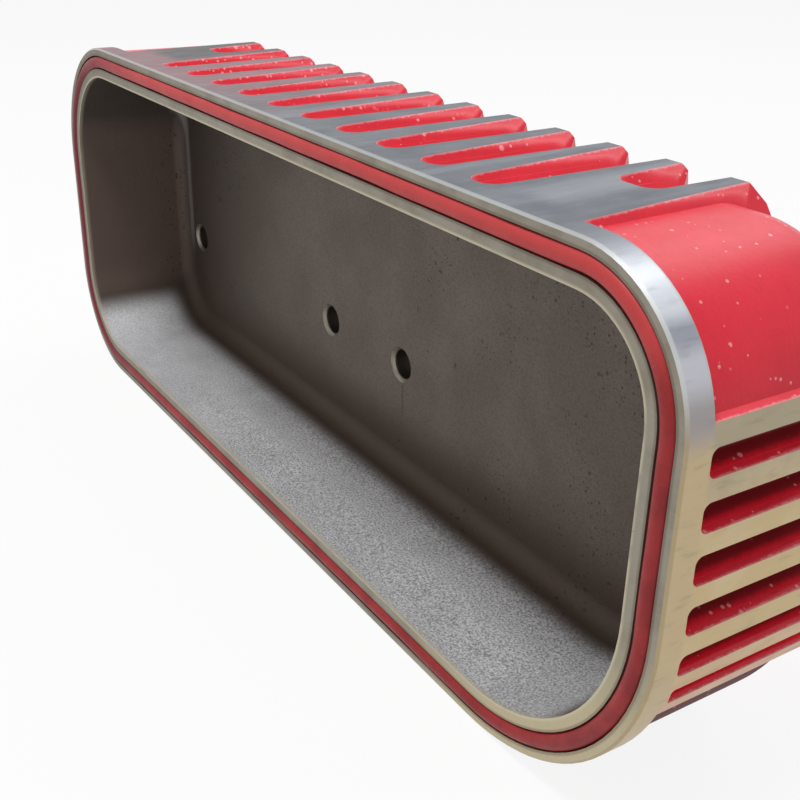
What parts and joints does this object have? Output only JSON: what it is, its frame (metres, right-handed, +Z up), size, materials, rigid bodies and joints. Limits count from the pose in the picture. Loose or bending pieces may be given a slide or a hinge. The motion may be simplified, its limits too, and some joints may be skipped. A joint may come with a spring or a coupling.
{
  "type": "engine valve cover",
  "caption": "Finned cast engine valve cover with painted recesses, open on its gasket side, with a round cord seal in the gasket face.",
  "frame": {"origin": "middle of the underside of the box round the part, which stands on its lower long side", "axes": "+X along the cover, +Y from the gasket face into the cover's depth, +Z up across its width"},
  "size_m": [0.2964, 0.0516, 0.1136],
  "materials": {
    "cast_aluminium": "machined rib crests and gasket face, blasted cavity",
    "red_paint": "satin red paint on the cast skin between the ribs",
    "seal_rubber": "satin red cord"
  },
  "bodies": {
    "root": {"valve_cover": "cast_aluminium", "cover_seal": "seal_rubber"}
  },
  "joints": []
}
